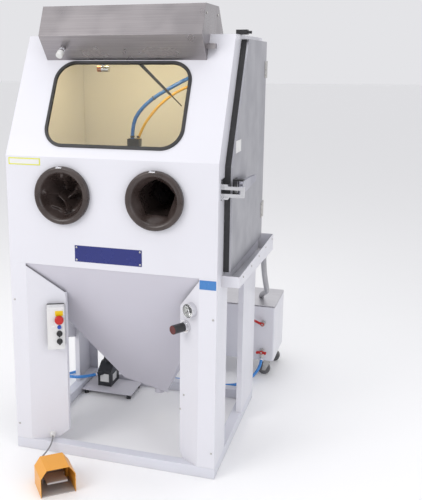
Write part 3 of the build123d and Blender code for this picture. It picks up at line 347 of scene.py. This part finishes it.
knob_zones = [((0.11, 0.016, 0.014), [(RIGHT_OUT, RIGHT_BASE + 0.0765, 1)])]
regulator_plastic = moulded("regulator_plastic", (0.02, 0.02, 0.022), (0.07, 0.07, 0.07), 0.35, knob_zones)
tap_zones = [((0.6, 0.25, 0.12), [((1, 0, 0), -0.162, -0.14)])]
tap_chrome = metal("tap_chrome", (0.78, 0.78, 0.8), (0.6, 0.6, 0.62), 0.15, tap_zones, Line_depth=0.02)
label_zones = [
    ((0.7, 0.72, 0.08), [((1, 0, 0), -0.46, -0.3), (UP, 1.32, 1.36)]),
    ((0.05, 0.2, 0.5), [((1, 0, 0), 0.39, 0.47), (UP, 0.84, 0.89)]),
]
plate_film = moulded(
    "plate_film", (0.012, 0.02, 0.16), (0.02, 0.03, 0.2), 0.22, label_zones, Pebble_height=0.01
)

clear_glass = bpy.data.materials.new("clear_glass")
clear_glass.use_nodes = True
glass_tree = clear_glass.node_tree
glass_shader = glass_tree.nodes["Principled BSDF"]
glass_shader.inputs["Base Color"].default_value = (0.97, 0.985, 0.975, 1)
glass_shader.inputs["Transmission Weight"].default_value = 1.0
glass_shader.inputs["IOR"].default_value = 1.45
film = remap(glass_tree, noise(glass_tree, 6.0, 5.0), 0.45, 0.8, 0.0, 0.06)
glass_tree.links.new(film, glass_shader.inputs["Roughness"])

finishes = {
    white_coat: (
        "front_panel top_panel left_side_panel right_side_frame rear_panel "
        "front_left_column front_right_column rear_columns tank_body"
    ),
    frame_coat: "base_frame",
    hopper_coat: "hopper",
    tray_coat: "drip_tray",
    door_coat: "door_panel",
    stainless: "light_housing",
    lid_steel: "tank_lid",
    grid_steel: "work_grid",
    plain_chrome: "latch_keeper air_regulator",
    zinc_plate: "tank_fittings caster_fork_left caster_fork_right hinge_leaves_fixed hinge_leaves_moving",
    tap_chrome: "wash_tap_body",
    black_rubber: "window_seal",
    ring_rubber: "port_rings",
    door_rubber: "door_seal",
    tyre_rubber: (
        "caster_wheel_front_left caster_wheel_front_right caster_wheel_rear_left caster_wheel_rear_right"
    ),
    black_plastic: (
        "wiper_arm latch_body door_interlock selector_upper selector_lower gauge_needle blast_gun"
    ),
    white_plastic: "wash_tap_knob cable_gland",
    lever_alloy: "latch_handle",
    lamp_plastic: "light_unit",
    red_plastic: "estop_button upper_valve_lever lower_valve_lever",
    blue_plastic: "start_button",
    pump_black: "pump",
    pedal_paint: "pedal_guard",
    pedal_iron: "pedal_base pedal_treadle",
    box_plastic: "control_box",
    regulator_plastic: "regulator_knob",
    plate_film: "name_plates",
    clear_glass: "window_glass",
    glove_rubber: "gauntlet_left gauntlet_right",
    grey_tube: "tray_drain_hose",
    feed_tube: "supply_hose",
    grey_cable: "pedal_cable",
    blue_tube: "gun_hoses",
}
for material, names in finishes.items():
    for name in names.split():
        nodes[name].data.materials.clear()
        nodes[name].data.materials.append(material)


# ---- Hoses and the pedal cable ----
def flexible(name, node, route, radius, material):
    """Smooth cord along a route given in metres."""
    curve = bpy.data.curves.new(name, "CURVE")
    curve.dimensions = "3D"
    curve.bevel_depth = radius
    curve.bevel_resolution = 5
    curve.use_fill_caps = True
    spline = curve.splines.new("NURBS")
    spline.points.add(len(route) - 1)
    for point, place in zip(spline.points, route):
        point.co = (*place, 1)
    spline.order_u = 3
    spline.use_endpoint_u = True
    spline.resolution_u = 12
    curve.materials.append(material)
    piece = bpy.data.objects.new(name, curve)
    bpy.context.scene.collection.objects.link(piece)
    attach(piece, "root")
    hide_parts(node)
    return piece


drain_route = [
    (0.508, 0.858, 0.7894), (0.509, 0.862, 0.735), (0.513, 0.882, 0.665), (0.515, 0.925, 0.605),
    (0.509, 0.985, 0.56), (0.498, 1.05, 0.535), (0.482, 1.12, 0.51), (0.462, 1.19, 0.48),
    (0.44, 1.25, 0.455), (0.428, 1.285, 0.428),
]
flexible(
    "drain_hose", "tray_drain_hose", drain_route, 0.014, grey_tube
)

supply_route = [
    (0.473, 1.094, 0.132), (0.471, 1.092, 0.097), (0.457, 1.08, 0.058), (0.43, 1.055, 0.024),
    (0.398, 1.012, 0.009), (0.364, 0.962, 0.0085), (0.29, 0.926, 0.0085), (0.14, 0.938, 0.0085),
    (-0.06, 0.928, 0.0085), (-0.25, 0.941, 0.0085), (-0.4, 0.935, 0.0085), (-0.49, 0.915, 0.0085),
    (-0.545, 0.868, 0.0085), (-0.575, 0.8, 0.016), (-0.578, 0.728, 0.038), (-0.552, 0.662, 0.066),
    (-0.502, 0.618, 0.086), (-0.44, 0.604, 0.095), (-0.387, 0.624, 0.098), (-0.345, 0.664, 0.1),
]
flexible("feed_hose", "supply_hose", supply_route, 0.008, feed_tube)

pedal_route = [
    (-0.29887, 0.01798, 0.07), (-0.289, -0.004, 0.066), (-0.288, -0.025, 0.05), (-0.297, -0.043, 0.03),
    (-0.31, -0.06, 0.012), (-0.317, -0.085, 0.0045), (-0.309, -0.112, 0.004), (-0.287, -0.131, 0.004),
    (-0.262, -0.142, 0.01), (-0.24, -0.154, 0.021), (-0.2239, -0.1745, 0.026),
]
flexible("pedal_lead", "pedal_cable", pedal_route, 0.0035, grey_cable)

blast_route = [
    (0.31, 0.85, 1.69), (0.3, 0.79, 1.702), (0.272, 0.715, 1.712), (0.228, 0.645, 1.706),
    (0.17, 0.59, 1.678), (0.099, 0.556, 1.636), (0.015, 0.552, 1.589), (-0.051, 0.55, 1.53),
    (-0.088, 0.55, 1.466), (-0.09, 0.55, 1.394),
]
flexible(
    "blast_air_hose", "gun_hoses", blast_route, 0.009, blue_tube
)

slurry_route = [
    (0.35, 0.85, 1.65), (0.342, 0.79, 1.662), (0.315, 0.715, 1.674), (0.27, 0.648, 1.672),
    (0.2, 0.6, 1.652), (0.128, 0.575, 1.62), (0.06, 0.562, 1.572), (0.005, 0.556, 1.512),
    (-0.038, 0.552, 1.452), (-0.06, 0.55, 1.394),
]
flexible(
    "slurry_hose", "gun_hoses", slurry_route, 0.0065, yellow_tube
)


# ---- Gauntlets ----
def mesh_piece(name, build, material, body="root", smooth=True):
    """Piece whose mesh a function fills in."""
    mesh = bpy.data.meshes.new(name)
    shape = bmesh.new()
    build(shape)
    bmesh.ops.recalc_face_normals(shape, faces=shape.faces)
    shape.to_mesh(mesh)
    shape.free()
    for face in mesh.polygons:
        face.use_smooth = smooth
    mesh.materials.append(material)
    piece = bpy.data.objects.new(name, mesh)
    bpy.context.scene.collection.objects.link(piece)
    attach(piece, body)
    return piece


def join_loops(shape, near, far):
    """Band of faces between two closed loops with as many points."""
    for index in range(len(near)):
        after = (index + 1) % len(near)
        shape.faces.new((near[index], near[after], far[after], far[index]))


def skin_rows(shape, rows):
    """Joins rows of points, each a closed loop, into a skin closed at its last row."""
    made = [[shape.verts.new(point) for point in row] for row in rows]
    for near, far in zip(made, made[1:]):
        join_loops(shape, near, far)
    shape.faces.new(made[-1])


SLEEVE_SIDES = 120
PORT_HEIGHT = 1.205
PORT_X = 0.205
SLEEVE_RADIUS = 0.0955
SLEEVE_DRAWN_IN = 0.15
SLEEVE_WALL = 0.0022


def polygon_radius(angle, corners, start):
    """Radius of a regular polygon with unit corners."""
    step = 2 * pi / corners
    return cos(step / 2) / cos((angle - start) % step - step / 2)


# The cuff turns over the clamping ring: (depth, radius) from the panel inwards.
CUFF = [(-0.010, 0.1236), (-0.018, 0.1234), (-0.0245, 0.1208), (-0.0272, 0.1155), (-0.0268, 0.1085)]
CUFF += [(-0.0235, 0.1015), (-0.017, 0.0963)]


def round_row(middle_x, depth, radius):
    """Circle of points about a port's axis."""
    turns = [2 * pi * index / SLEEVE_SIDES for index in range(SLEEVE_SIDES)]
    return [(middle_x + radius * cos(turn), depth, PORT_HEIGHT + radius * sin(turn)) for turn in turns]


def open_sleeve(shape):
    """Gauntlet hanging open: a five-cornered throat behind a soft shoulder."""
    stations = [
        (-0.008, 0.093, 0.15), (0.002, 0.0885, 0.45), (0.012, 0.0855, 0.8), (0.02, 0.0835, 1.0),
        (0.027, 0.084, 1.0), (0.045, 0.086, 0.9), (0.085, 0.084, 0.8), (0.14, 0.078, 0.6),
        (0.21, 0.069, 0.4), (0.3, 0.061, 0.2), (0.37, 0.056, 0.0), (0.392, 0.045, 0.0), (0.399, 0.02, 0.0),
    ]
    rows = [round_row(PORT_X, depth, radius) for depth, radius in CUFF]
    for depth, radius, share in stations:
        row = []
        for index in range(SLEEVE_SIDES):
            angle = 2 * pi * index / SLEEVE_SIDES
            facet = share * (0.45 + 0.75 * (0.5 - 0.5 * sin(angle)))
            reach = radius * (1 - facet + facet * polygon_radius(angle, 5, radians(-54)))
            crease = 0.006 * share * exp(-(((angle - radians(165)) / 0.1) ** 2))
            reach -= crease + 0.0012 * share * sin(3 * angle + 40 * depth)
            slide = depth + 0.006 * share * sin(2 * angle + 0.6)
            row.append((PORT_X + reach * cos(angle), slide, PORT_HEIGHT + reach * sin(angle)))
        rows.append(row)
    skin_rows(shape, rows)


def distance_to_run(x, z, run):
    """Distance from a point to a straight fold."""
    x0, z0, x1, z1 = run
    along = ((x - x0) * (x1 - x0) + (z - z0) * (z1 - z0)) / ((x1 - x0) ** 2 + (z1 - z0) ** 2)
    along = min(max(along, 0.0), 1.0)
    return hypot(x - x0 - along * (x1 - x0), z - z0 - along * (z1 - z0))


# Folds of the left gauntlet in shares of its radius: (run, height, half width).
FOLDS = [
    ((-0.36, -0.1, 0.2, -0.62), 0.095, 0.15),
    ((-0.56, -0.5, 0.08, -0.78), 0.055, 0.12),
    ((-0.34, -0.12, -0.86, 0.1), 0.06, 0.17),
    ((-0.02, -0.2, 0.72, 0.34), 0.075, 0.17),
    ((0.02, 1.0, -0.16, 0.18), 0.062, 0.2),
    ((0.5, 0.8, 0.2, 0.3), 0.034, 0.2),
    ((0.3, -0.66, 0.82, -0.3), 0.04, 0.17),
]


def folded_sleeve(shape):
    """Gauntlet sucked in on itself: folds cross in front of a pinched middle."""
    rows = [round_row(-PORT_X, depth, radius) for depth, radius in CUFF]
    steps = 30
    for step in range(1, steps):
        share = 1 - step / steps
        row = []
        for index in range(SLEEVE_SIDES):
            angle = 2 * pi * index / SLEEVE_SIDES
            x = share * cos(angle)
            z = share * sin(angle)
            hollow = -0.014 + SLEEVE_DRAWN_IN * (1 - share**2.4)
            ridge = max(
                height * exp(-((distance_to_run(x, z, run) / width) ** 1.5))
                for run, height, width in FOLDS
            )
            fade = min(1.0, (1 - share) * 5)
            depth = hollow - fade * ridge
            row.append((-PORT_X + SLEEVE_RADIUS * x, depth, PORT_HEIGHT + SLEEVE_RADIUS * z))
        rows.append(row)
    skin_rows(shape, rows)


for name, node, build in (
    ("open_gauntlet", "gauntlet_right", open_sleeve),
    ("folded_gauntlet", "gauntlet_left", folded_sleeve),
):
    sleeve = mesh_piece(name, build, glove_rubber)
    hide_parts(node)
    wall = sleeve.modifiers.new("wall", "SOLIDIFY")
    wall.thickness = SLEEVE_WALL
    wall.offset = 0
    round_off = sleeve.modifiers.new("round_off", "SUBSURF")
    round_off.levels = 1
    round_off.render_levels = 1


# ---- Small trim ----
def facing(origin, out, up=(0, 0, 1)):
    """Matrix that stands things on a surface: their x runs across, y up and z out of it."""
    out = Vector(out).normalized()
    across = Vector(up).cross(out).normalized()
    rise = out.cross(across)
    turned = Matrix((across, rise, out)).transposed().to_4x4()
    return Matrix.Translation(origin) @ turned


def add_plate(shape, place, size, bevel=0.0006, steps=2):
    """Small plate with rounded edges, its back on the place's plane."""
    made = bmesh.ops.create_cube(shape, size=1.0)["verts"]
    fit = place @ Matrix.Translation((0, 0, size[2] / 2)) @ Matrix.Diagonal((*size, 1))
    bmesh.ops.transform(shape, matrix=fit, verts=made)
    edges = list({edge for vert in made for edge in vert.link_edges})
    bmesh.ops.bevel(shape, geom=edges, offset=bevel, segments=steps, affect="EDGES", profile=0.5)


def turned_rings(shape, place, profile, sides):
    """Loops of points about the place's z axis, one for each (radius, height)."""
    turns = [2 * pi * index / sides for index in range(sides)]
    rings = []
    for radius, height in profile:
        points = [Vector((radius * cos(turn), radius * sin(turn), height)) for turn in turns]
        rings.append([shape.verts.new(place @ point) for point in points])
    return rings


def add_turned(shape, place, profile, sides=40):
    """Turned part about the place's z axis, from (radius, height) points, with flat ends."""
    rings = turned_rings(shape, place, profile, sides)
    for near, far in zip(rings, rings[1:]):
        join_loops(shape, near, far)
    shape.faces.new(rings[0])
    shape.faces.new(rings[-1])


def add_band(shape, centre, axis, inner, outer, width, sides=40):
    """Round band about an axis, such as a hose clamp."""
    place = facing(centre, axis, (0.31, 0.2, 0.93))
    corners = [(inner, -width / 2), (outer, -width / 2), (outer, width / 2), (inner, width / 2)]
    rings = turned_rings(shape, place, corners, sides)
    for near, far in zip(rings, rings[1:] + rings[:1]):
        join_loops(shape, near, far)


def screw_heads(name, places, radius, material, body="root"):
    """Pan head screws, one at each (origin, outward direction)."""
    head = [(share * radius, rise * radius) for share, rise in ((1, 0), (1, 0.3), (0.8, 0.6), (0.35, 0.72))]

    def build(shape):
        """All the heads of this set."""
        for origin, out in places:
            add_turned(shape, facing(origin, out), head, 20)

    return mesh_piece(name, build, material, body)


def ring_clips(shape):
    """Bright clip over the top of each arm port ring."""
    for side in (-1, 1):
        top = (side * PORT_X - 0.004, -0.0225, PORT_HEIGHT + 0.119)
        add_plate(shape, facing(top, (0, -0.35, 1), (0, 1, 0)), (0.026, 0.014, 0.003), 0.001)


mesh_piece("ring_clips", ring_clips, plain_chrome, smooth=False)


def label_face(shape):
    """Blank white face of the yellow-edged label."""
    add_plate(shape, facing((-0.3815, -0.0008, 1.342), (0, -1, 0)), (0.139, 0.021, 0.0004), 0.0001, 1)


mesh_piece("label_face", label_face, white_plastic, smooth=False)


def door_label(shape):
    """Blank white label on the door."""
    add_plate(shape, facing((0.503, 0.2, 1.415), (1, 0, 0)), (0.1, 0.05, 0.0006), 0.0002, 1)


mesh_piece("door_label", door_label, white_plastic, "door", smooth=False)


def pump_labels(shape):
    """Blank rating labels on the pump."""
    add_plate(shape, facing((-0.311, 0.682, 0.075), (0, -1, 0)), (0.05, 0.045, 0.0006), 0.0002, 1)
    add_plate(shape, facing((-0.273, 0.735, 0.07), (1, 0, 0)), (0.055, 0.04, 0.0006), 0.0002, 1)


mesh_piece("pump_labels", pump_labels, white_plastic, smooth=False)


def hose_clamps(shape):
    """Worm clamps where the hoses are pushed on."""
    add_band(shape, (0.5082, 0.8588, 0.778), (0, 0.05, 1), 0.0141, 0.0165, 0.011)
    add_band(shape, (0.4727, 1.0937, 0.124), (0, 0.05, 1), 0.0081, 0.0105, 0.009)
    add_band(shape, (-0.3505, 0.6585, 0.0996), (0.72, 0.69, 0.03), 0.0081, 0.0105, 0.009)


mesh_piece("hose_clamps", hose_clamps, plain_chrome, smooth=False)


def hose_ties(shape):
    """Ties on the two gun hoses."""
    add_band(shape, (0.018, 0.5525, 1.589), (0.77, 0.02, 0.63), 0.0091, 0.0112, 0.005)
    add_band(shape, (-0.0595, 0.55, 1.404), (0.05, 0, 1), 0.0066, 0.0085, 0.008)
    add_band(shape, (-0.0899, 0.55, 1.404), (0, 0, 1), 0.0091, 0.011, 0.008)


mesh_piece("hose_ties", hose_ties, black_plastic, smooth=False)

GAUGE = Vector((0.3595, 0.0214, 0.749))  # on the angled panel, behind the gauge
GAUGE_FACE = GAUGE + Vector(RIGHT_OUT) * 0.020


def gauge_dial(shape):
    """White dial in the gauge."""
    add_turned(shape, facing(GAUGE_FACE, RIGHT_OUT), [(0.0286, 0), (0.0286, 0.0005), (0.002, 0.0005)], 64)


def gauge_ticks(shape):
    """Scale marks round the dial."""
    for index in range(28):
        angle = radians(225 - 10 * index)
        long_mark = index % 3 == 0
        length = 0.0055 if long_mark else 0.003
        turn = Matrix.Rotation(angle, 4, "Z") @ Matrix.Translation((0.0262 - length / 2, 0, 0.0005))
        add_plate(shape, facing(GAUGE_FACE, RIGHT_OUT) @ turn, (length, 0.0009, 0.0003), 0.0001, 1)


def gauge_glass(shape):
    """Domed cover of the gauge."""
    dome = [(0.0288, 0.0052), (0.0288, 0.0062), (0.022, 0.0076), (0.012, 0.0086), (0.002, 0.009)]
    add_turned(shape, facing(GAUGE_FACE, RIGHT_OUT), dome, 64)


mesh_piece("gauge_dial", gauge_dial, white_plastic, smooth=False)
mesh_piece("gauge_ticks", gauge_ticks, black_plastic, smooth=False)
mesh_piece("gauge_glass", gauge_glass, clear_glass)

TRAY_OUTER = 0.546
SCREWS = [((TRAY_OUTER, y / 1000, 0.872), (1, 0, 0)) for y in range(150, 900, 180)]
SCREWS += [((0.320, 0.0458, 0.351), RIGHT_OUT), ((0.301, 0.0576, 0.278), RIGHT_OUT)]
SCREWS += [((x, 0, z), (0, -1, 0)) for x in (-0.455, 0.455) for z in (0.12, 0.72)]
SCREWS += [((x / 1000, 0, z), (0, -1, 0)) for x in (-148, 139) for z in (0.928, 0.983)]
screw_heads("panel_screws", SCREWS, 0.0045, zinc_plate)

HOUSING_HALF = 0.361
HOUSING_SCREWS = [((side * HOUSING_HALF, y, 1.95), (side, 0, 0)) for side in (-1, 1) for y in (0.2, 0.39)]
screw_heads("housing_screws", HOUSING_SCREWS, 0.005, zinc_plate)
HINGE_SCREWS = [((0.506, 0.775, z + dz), (1, 0, 0)) for z in (1.04, 1.72) for dz in (-0.026, 0, 0.026)]
screw_heads("hinge_screws", HINGE_SCREWS, 0.004, zinc_plate, "door")

# ---- Studio ----
floor_mesh = bpy.data.meshes.new("floor")
reach = 60.0
corners = [(-reach, -reach, 0), (reach, -reach, 0), (reach, reach, 0), (-reach, reach, 0)]
floor_mesh.from_pydata(corners, [], [(0, 1, 2, 3)])
floor = bpy.data.objects.new("floor", floor_mesh)
bpy.context.scene.collection.objects.link(floor)
floor_paint = bpy.data.materials.new("floor_paint")
floor_paint.use_nodes = True
floor_tree = floor_paint.node_tree
floor_shader = floor_tree.nodes["Principled BSDF"]
cloudy = remap(floor_tree, noise(floor_tree, 1.5, 3.0), 0.3, 0.7, 0.55, 0.65)
floor_tree.links.new(cloudy, floor_shader.inputs["Roughness"])
floor_shader.inputs["Base Color"].default_value = (0.94, 0.94, 0.94, 1)
floor_mesh.materials.append(floor_paint)

world = bpy.data.worlds.new("studio")
bpy.context.scene.world = world
world.use_nodes = True
background = world.node_tree.nodes["Background"]
background.inputs["Color"].default_value = (0.97, 0.97, 1.0, 1)
background.inputs["Strength"].default_value = 0.8


def area_light(name, place, aim, size, power, colour):
    """Rectangular light aimed at a point."""
    data = bpy.data.lights.new(name, "AREA")
    data.shape = "RECTANGLE"
    data.size, data.size_y = size
    data.energy = power
    data.color = colour
    light = bpy.data.objects.new(name, data)
    bpy.context.scene.collection.objects.link(light)
    light.location = place
    light.rotation_euler = (Vector(aim) - Vector(place)).to_track_quat("-Z", "Y").to_euler()


area_light("key", (-2.2, -3.4, 3.4), (0, 0.2, 1.0), (2.4, 2.0), 74, (1.0, 0.98, 0.96))
area_light("fill", (3.4, -2.2, 2.4), (0.2, 0.4, 0.9), (2.0, 2.4), 24, (0.97, 0.97, 1.0))
area_light("overhead", (0.2, 0.6, 4.2), (0, 0.4, 0), (3.0, 3.0), 42, (1.0, 1.0, 1.0))
area_light("lamp_inside", (0, 0.34, 1.84), (0, 0.62, 1.2), (0.6, 0.06), 3.4, (1.0, 0.8, 0.4))
area_light("glow_inside", (0.25, 0.5, 1.0), (0.1, 0.8, 1.6), (0.4, 0.3), 1.0, (1.0, 0.82, 0.42))

bpy.context.scene.view_settings.view_transform = "Standard"
